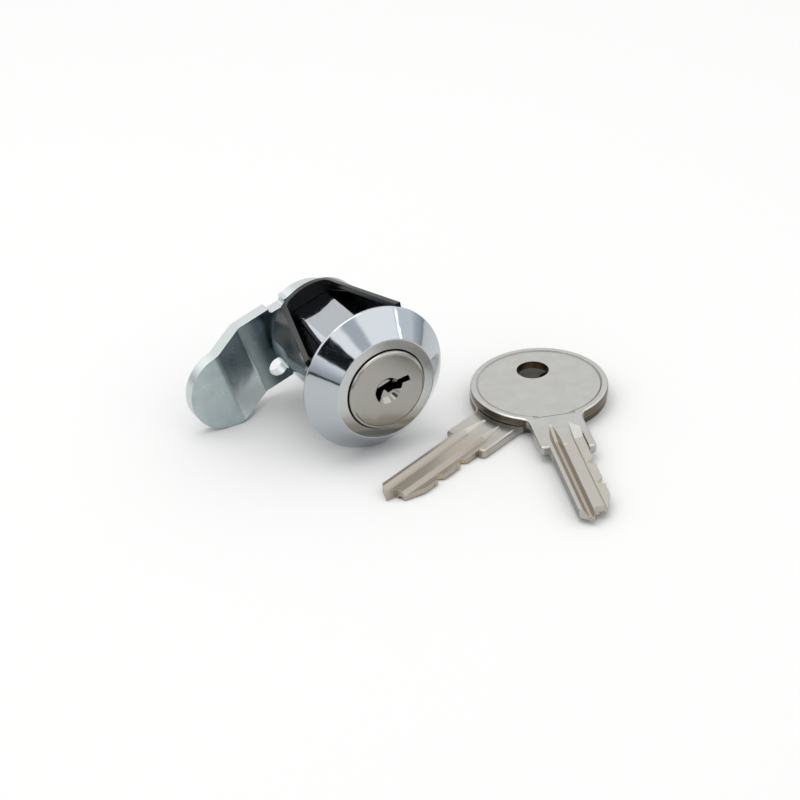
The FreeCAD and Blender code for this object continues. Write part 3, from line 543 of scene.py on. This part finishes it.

# %% [markdown]
# Wear, tarnish and painted shade sit in fixed zones of a key. The milled groove and the step have
# browned. The cuts show bare yellow brass. Painted shade lies along the step round the sunk panel, in
# the narrow slit beside the shoulder and in the ring hole. The bow's rim is painted darker than the
# faces as a painted dark reflection, and the blade's back edge is darker too. The panel's painted shade
# is full towards the blade and faint at the far end. Each span is its low end, its high end and its
# softness in millimetres.

# %% Zones of a key
PAST_TIP, PAST_BOW = 30.0, -40.0
BLADE_BEGINS = (-8.0, 1.0)
IN_SECTION = (0.05, KEY_THICK - 0.12, 0.04)
GROOVE_ACROSS, GROOVE_ALONG = (-1.7, -0.65, 0.05), (-8.5, PAST_TIP, 0.5)
STEP_ACROSS, STEP_ALONG = (1.1, 1.6, 0.04), (-6.5, PAST_TIP, 0.5)
CUTS_ACROSS, CUTS_ALONG = (1.9, 2.5, 0.04), (1.6, 13.1, 0.05)
PANEL_RING, RING_ALONG = (PANEL_R - 0.30, PANEL_R + 0.03, 0.05), (PAST_BOW, -PANEL_FOOT - 0.55, 0.05)
RING_FAINT, RING_FULL, RING_SHARE = -25.0, -16.0, 0.1
FOOT_ACROSS = (-PANEL_FOOT_HALF, PANEL_FOOT_HALF, 0.05)
FOOT_ALONG = (-PANEL_FOOT - 0.34, -PANEL_FOOT + 0.05, 0.05)
SLIT_ACROSS, SLIT_ALONG = (3.02, 3.12, 0.04), (-4.2, 0.1, 0.1)
RIM_RING = (BOW_R - 0.3, BOW_R + 0.3, 0.05)
BACK_ACROSS, BACK_ALONG = (-4.0, -2.85, 0.04), (1.0, PAST_TIP, 0.5)
HOLE_WALL = HOLE_R + 0.03
STANDS_UP = 0.5


def key_zones(tree, along, across, height):
    """Returns the mask of each zone by its name: wear, browning, painted shade and darker places."""
    tilt = add(tree, "ShaderNodeMath", {"operation": "ABSOLUTE"}, i0=facing_part(tree, "Z")).outputs[0]
    upright = add(tree, "ShaderNodeMath", {"operation": "LESS_THAN"}, i0=tilt, i1=STANDS_UP).outputs[0]
    sunk = zone(tree, (height, IN_SECTION))
    from_bow = from_centre(tree, along, across, BOW_CENTRE)
    from_hole = from_centre(tree, along, across, HOLE_CENTRE)
    in_hole = add(tree, "ShaderNodeMath", {"operation": "LESS_THAN"}, i0=from_hole, i1=HOLE_WALL).outputs[0]
    fading = add(tree, "ShaderNodeMapRange", Value=along, From_Min=RING_FAINT, From_Max=RING_FULL,
                 To_Min=RING_SHARE).outputs[0]
    ring = where_all(tree, fading, zone(tree, (from_bow, PANEL_RING), (along, RING_ALONG)))
    foot = zone(tree, (along, FOOT_ALONG), (across, FOOT_ACROSS))
    return {
        "blade": add(tree, "ShaderNodeMapRange", SMOOTH, Value=along, From_Min=BLADE_BEGINS[0],
                     From_Max=BLADE_BEGINS[1]).outputs[0],
        "groove": where_all(tree, sunk, zone(tree, (across, GROOVE_ACROSS), (along, GROOVE_ALONG))),
        "step": where_all(tree, sunk, zone(tree, (along, STEP_ALONG), (across, STEP_ACROSS))),
        "cuts": where_all(tree, zone(tree, (along, CUTS_ALONG), (across, CUTS_ACROSS)), upright),
        "panel": add(tree, "ShaderNodeMath", {"operation": "MAXIMUM"}, i0=ring, i1=foot).outputs[0],
        "slit": zone(tree, (across, SLIT_ACROSS), (along, SLIT_ALONG)),
        "rim": where_all(tree, upright, zone(tree, (from_bow, RIM_RING))),
        "back": where_all(tree, zone(tree, (along, BACK_ALONG), (across, BACK_ACROSS)), upright),
        "hole": in_hole}


print("groove %.2f to %.2f mm across, cuts %.1f to %.1f mm along" % (GROOVE_ACROSS[:2] + CUTS_ALONG[:2]))

# %% [markdown]
# The bow is a soft nickel grey with cloudy patches, and the milled blade is warmer where the plate is
# thin. Scratches in two directions and small pits make a key satin rather than a mirror, and the
# blade is rougher than the bow.

# %% Nickel-plated brass
KEY_NICKEL = "#BEBEBB"
KEY_NICKEL_DARK = "#B6B5B2"
BLADE_WARM = {"upper_key": "#B5B2AB", "lower_key": "#ADA69B"}
GROOVE_BROWN = {"upper_key": "#ADA599", "lower_key": "#B5AC9F"}
STEP_BROWN = "#B4ABA0"
BLADE_BARE = "#C2B48C"
# Painted shade along the step round the sunk panel.
PANEL_STEP_SHADE = "#77716A"
# Painted shade in the ring hole and in the slit beside the shoulder.
HOLE_SHADE = "#5F5240"
# The bow rim's darker colour is a painted dark reflection.
RIM_DARK_REFLECTION = "#665E52"
# The blade's back edge is drawn darker than the faces.
BACK_DARKER = "#85847F"
BLADE_ROUGHER = 0.1
SCRATCH_IN_PITS = -0.1


def key_finish(name):
    """The finish of one key, from its own coordinates and zones."""
    made, tree, shader, place, rounded = finish("nickel_plated_brass_" + name, KEY_NICKEL, metallic=1.0,
                                                roughness=0.26, edge_mm=0.09)
    own = key_coordinates(tree, place, name)
    parts = add(tree, "ShaderNodeSeparateXYZ", Vector=own).outputs
    zones = key_zones(tree, parts["X"], parts["Y"], parts["Z"])
    clouds = add(tree, "ShaderNodeTexNoise", Vector=own, Scale=0.5, Detail=4.0, Roughness=0.6).outputs[0]
    cloudy = add(tree, "ShaderNodeMapRange", Value=clouds, From_Min=0.35, From_Max=0.7).outputs[0]
    colour = layered(tree, linear(KEY_NICKEL_DARK), (cloudy, KEY_NICKEL), (zones["blade"], BLADE_WARM[name]),
                     (zones["groove"], GROOVE_BROWN[name]), (zones["step"], STEP_BROWN),
                     (zones["cuts"], BLADE_BARE), (zones["panel"], PANEL_STEP_SHADE), (zones["slit"], HOLE_SHADE),
                     (zones["rim"], RIM_DARK_REFLECTION), (zones["back"], BACK_DARKER), (zones["hole"], HOLE_SHADE))
    one_way = hairlines(tree, own, width_mm=0.07, length_mm=4.0, turn=(0, 0, 20), share=0.36)
    other_way = hairlines(tree, own, width_mm=0.07, length_mm=4.0, turn=(0, 0, -65), share=0.36)
    worn = add(tree, "ShaderNodeMath", {"operation": "MAXIMUM"}, i0=one_way, i1=other_way).outputs[0]
    rough = add(tree, "ShaderNodeMapRange", Value=worn, To_Min=0.28, To_Max=0.32).outputs[0]
    rough = add(tree, "ShaderNodeMath", {"operation": "MULTIPLY_ADD"}, i0=zones["blade"], i1=BLADE_ROUGHER,
                i2=rough).outputs[0]
    pitted = add(tree, "ShaderNodeTexNoise", Vector=own, Scale=3.0, Detail=4.0).outputs[0]
    relief = add(tree, "ShaderNodeMath", {"operation": "MULTIPLY_ADD"}, i0=worn, i1=SCRATCH_IN_PITS,
                 i2=pitted).outputs[0]
    finished(tree, shader, rounded, relief, depth_mm=0.0014, Base_Color=colour, Roughness=rough)
    return made


KEY_FINISHES = {name: key_finish(name) for name in KEY_PLACES}
print("key finishes:", sorted(KEY_FINISHES))

# %% [markdown]
# Every CAD node keeps its own mesh and gets its finish by its material slots. A node that isn't in
# the two lists is a wafer or the spring behind it, and its name tells which.

# %% Dress the CAD nodes
FINISHES = {"housing": chrome, "plug": plug_finish, "cam": cam_finish, "stop_washer": zinc_finish,
            "lock_washer": zinc_finish, "cam_screw": zinc_finish, "fixing_clip": clip_finish, **KEY_FINISHES}
for name, piece in nodes.items():
    worn_by = FINISHES.get(name, wire_finish if "spring" in name else brass_finish)
    slots = piece.data.materials
    for number in range(len(slots)):
        slots[number] = worn_by
    if len(slots) == 0:
        slots.append(worn_by)
print("dressed", len(nodes), "nodes")
